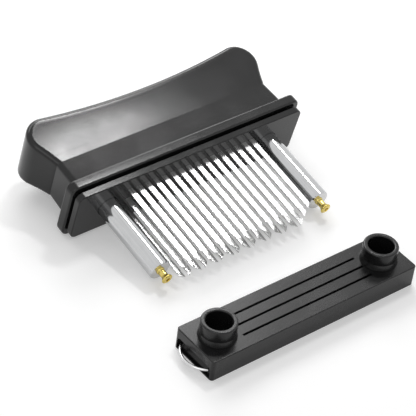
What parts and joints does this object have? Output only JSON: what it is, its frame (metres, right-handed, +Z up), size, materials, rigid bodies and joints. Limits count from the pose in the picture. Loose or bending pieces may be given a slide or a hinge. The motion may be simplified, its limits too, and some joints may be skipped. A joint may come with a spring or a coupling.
{
  "type": "blade meat tenderizer",
  "caption": "Hand tenderizer: moulded handle over three rows of flat steel blades and two sprung posts, with a slotted guard that locks on to the posts, shown taken off.",
  "frame": {"origin": "middle of the whole object's box on the table: the head lies on its back, the guard lies flat in front", "axes": "+X along the handle, guard and blade rows; +Y from the blade tips towards the palm; +Z up from the table"},
  "size_m": [0.1685, 0.1888, 0.0472],
  "materials": {
    "black_gloss": "glossy moulded plastic",
    "black_satin": "satin moulded plastic",
    "bright_steel": "polished stainless steel",
    "blade_steel": "polished flats, ground tips",
    "brass": "turned brass",
    "spring_steel": "plain wire",
    "bush_plastic": "natural acetal",
    "screw_steel": "plated steel"
  },
  "bodies": {
    "head": {"handle_shell": "black_gloss", "bottom_plate": "black_gloss", "blade_bar_front": "bush_plastic", "blade_bar_middle": "bush_plastic", "blade_bar_rear": "bush_plastic", "blades_front": "blade_steel", "blades_middle": "blade_steel", "blades_rear": "blade_steel", "guide_bush_left": "bush_plastic", "guide_bush_right": "bush_plastic", "post_spring_left": "spring_steel", "post_spring_right": "spring_steel"},
    "post_left": {"post_tube_left": "bright_steel", "post_plug_left": "bright_steel", "brass_stud_left": "brass", "retaining_ring_left": "spring_steel"},
    "post_right": {"post_tube_right": "bright_steel", "post_plug_right": "bright_steel", "brass_stud_right": "brass", "retaining_ring_right": "spring_steel"},
    "guard": {"guard_body": "black_satin", "guard_cover": "black_satin", "cover_screws": "screw_steel", "lock_spring": "spring_steel"},
    "guard_lock": {"lock_frame": "screw_steel", "pull_ring": "bright_steel"}
  },
  "joints": [
    {"name": "post_slide_left", "type": "slide", "parent": "head", "child": "post_left", "axis": [0, 0.9825, 0.1864], "range_m": [0, 0.038], "stiffness_N_per_m": 350, "springref_m": -0.01, "deforming": ["post_spring_left"]},
    {"name": "post_slide_right", "type": "slide", "parent": "head", "child": "post_right", "axis": [0, 0.9825, 0.1864], "range_m": [0, 0.038], "stiffness_N_per_m": 350, "springref_m": -0.01, "deforming": ["post_spring_right"]},
    {"name": "guard_lift", "type": "slide", "parent": "head", "child": "guard", "axis": [0, 0, 1], "range_m": [0, 0.06]},
    {"name": "lock_slide", "type": "slide", "parent": "guard", "child": "guard_lock", "axis": [-1, 0, 0], "range_m": [0, 0.0042], "stiffness_N_per_m": 250, "springref_m": -0.004, "deforming": ["lock_spring"]}
  ]
}
